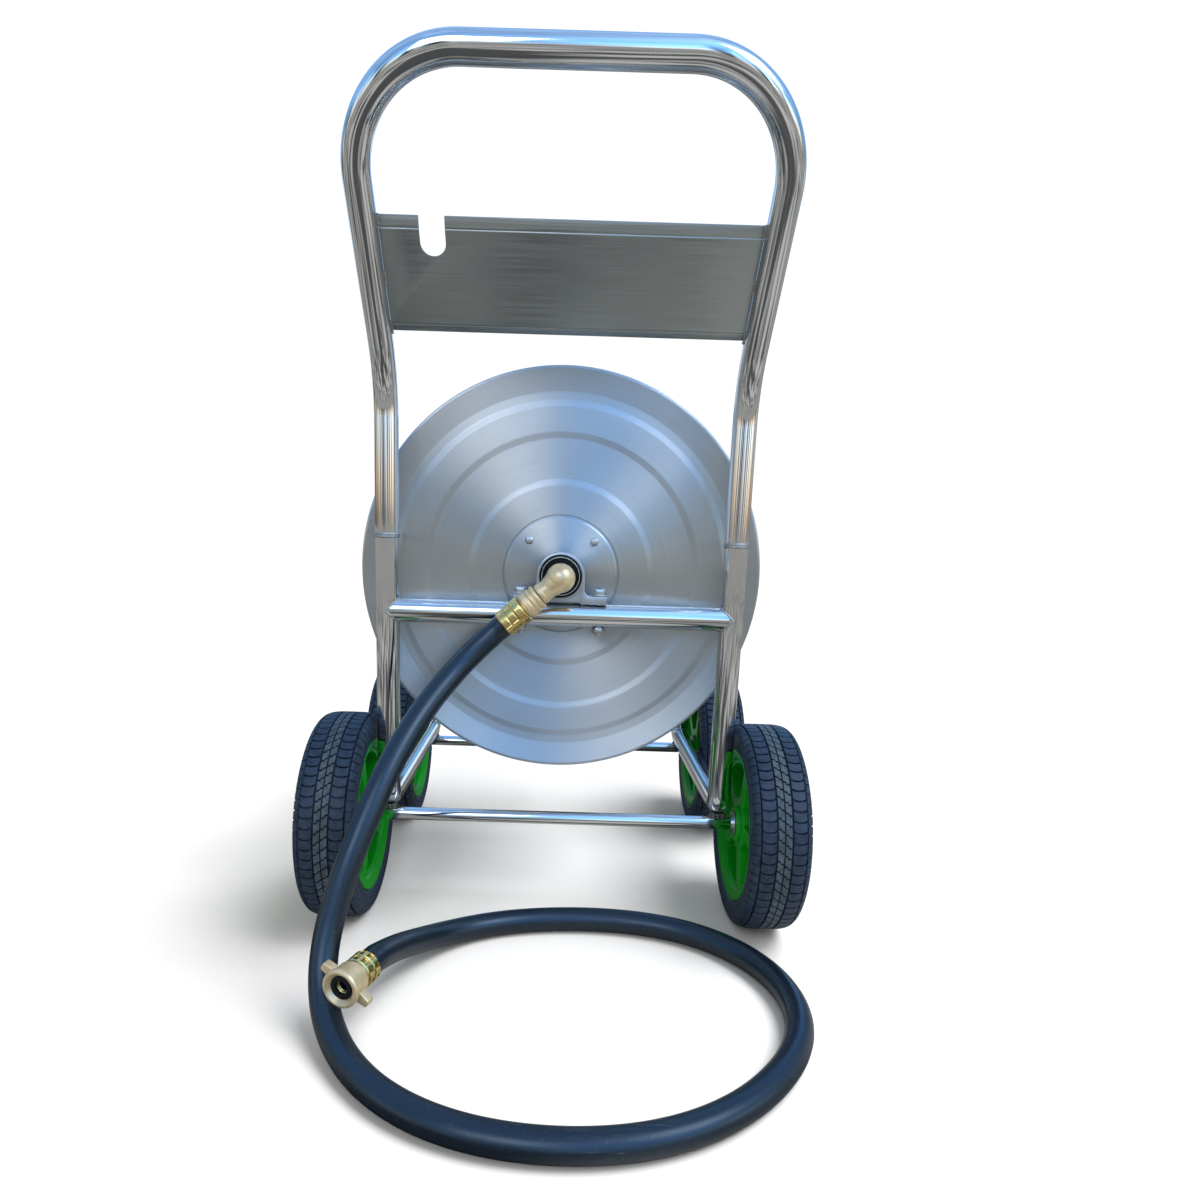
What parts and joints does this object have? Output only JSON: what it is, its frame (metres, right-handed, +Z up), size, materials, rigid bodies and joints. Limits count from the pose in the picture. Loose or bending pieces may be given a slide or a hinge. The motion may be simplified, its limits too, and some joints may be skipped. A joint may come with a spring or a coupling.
{
  "type": "garden hose reel cart",
  "caption": "Stainless tube hose reel cart on wheels, with a leaning handle, a nozzle plate, a cranked reel and a lead-in hose.",
  "frame": {"origin": "on the ground, under the middle of the cart without its lead-in hose", "axes": "+X to the user's right along the axles, +Y from the handle towards the crank along the reel's shaft, +Z up"},
  "size_m": [0.588, 0.9128, 0.9132],
  "materials": {
    "polished_steel": "mirror-polished stainless tube",
    "brushed_steel": "brushed stainless sheet",
    "weld_steel": "dull weld bead",
    "cast_housing": "cast housing in satin grey",
    "zinc_steel": "bright zinc plate",
    "brass": "satin cast brass",
    "polished_brass": "bright turned brass",
    "hose_rubber": "smooth satin rubber",
    "black_rubber": "satin black rubber and plastic",
    "tyre": "matt moulded foam tyre",
    "rim_green": "bright green moulded plastic"
  },
  "bodies": {
    "frame": {"handle_tube": "polished_steel", "left_weld_ring": "weld_steel", "right_weld_ring": "weld_steel", "near_left_upright": "polished_steel", "near_right_upright": "polished_steel", "left_base_rail": "polished_steel", "right_base_rail": "polished_steel", "far_left_upright": "polished_steel", "far_right_upright": "polished_steel", "far_left_cap": "black_rubber", "far_right_cap": "black_rubber", "near_cross_tube": "polished_steel", "far_cross_tube": "polished_steel", "near_axle": "polished_steel", "far_axle": "polished_steel", "tool_plate": "brushed_steel", "near_pillow_block": "cast_housing", "far_pillow_block": "cast_housing", "near_bearing_seal": "black_rubber", "far_bearing_seal": "black_rubber", "near_left_block_bolt": "zinc_steel", "near_right_block_bolt": "zinc_steel", "far_left_block_bolt": "zinc_steel", "far_right_block_bolt": "zinc_steel", "inlet_elbow": "brass", "inlet_collar": "brass", "inlet_hose_nut": "polished_brass", "inlet_hose": "hose_rubber", "end_ferrule": "polished_brass", "end_washer": "black_rubber", "near_left_axle_cap": "zinc_steel", "near_right_axle_cap": "zinc_steel", "far_left_axle_cap": "zinc_steel", "far_right_axle_cap": "zinc_steel"},
    "reel": {"near_disc": "brushed_steel", "far_disc": "brushed_steel", "near_hub_plate": "brushed_steel", "far_hub_plate": "brushed_steel", "near_hub_screw_1": "zinc_steel", "near_hub_screw_2": "zinc_steel", "near_hub_screw_3": "zinc_steel", "near_hub_screw_4": "zinc_steel", "drum": "brushed_steel", "drum_outlet": "brass", "reel_shaft": "zinc_steel", "near_inner_ring": "zinc_steel", "far_inner_ring": "zinc_steel", "crank_arm": "polished_steel", "crank_nut": "zinc_steel", "crank_pin": "zinc_steel"},
    "crank_grip": {"crank_grip": "black_rubber"},
    "end_swivel": {"end_swivel_nut": "brass"},
    "near_left_wheel": {"near_left_tyre": "tyre", "near_left_rim": "rim_green"},
    "near_right_wheel": {"near_right_tyre": "tyre", "near_right_rim": "rim_green"},
    "far_left_wheel": {"far_left_tyre": "tyre", "far_left_rim": "rim_green"},
    "far_right_wheel": {"far_right_tyre": "tyre", "far_right_rim": "rim_green"}
  },
  "joints": [
    {"name": "reel_spin", "type": "hinge", "parent": "frame", "child": "reel", "pos_m": [0, 0.03211, 0.433], "axis": [0, 1, 0], "continuous": true},
    {"name": "grip_spin", "type": "hinge", "parent": "reel", "child": "crank_grip", "pos_m": [0, 0.28911, 0.293], "axis": [0, 1, 0], "continuous": true},
    {"name": "end_swivel_turn", "type": "hinge", "parent": "frame", "child": "end_swivel", "pos_m": [-0.196, -0.42689, 0.06], "axis": [-0.3453, -0.9385, 0], "range_deg": [-40, 10]},
    {"name": "near_left_wheel_spin", "type": "hinge", "parent": "frame", "child": "near_left_wheel", "pos_m": [-0.2595, -0.13989, 0.127], "axis": [1, 0, 0], "continuous": true},
    {"name": "near_right_wheel_spin", "type": "hinge", "parent": "frame", "child": "near_right_wheel", "pos_m": [0.2595, -0.13989, 0.127], "axis": [1, 0, 0], "continuous": true},
    {"name": "far_left_wheel_spin", "type": "hinge", "parent": "frame", "child": "far_left_wheel", "pos_m": [-0.2595, 0.20411, 0.127], "axis": [1, 0, 0], "continuous": true},
    {"name": "far_right_wheel_spin", "type": "hinge", "parent": "frame", "child": "far_right_wheel", "pos_m": [0.2595, 0.20411, 0.127], "axis": [1, 0, 0], "continuous": true}
  ]
}
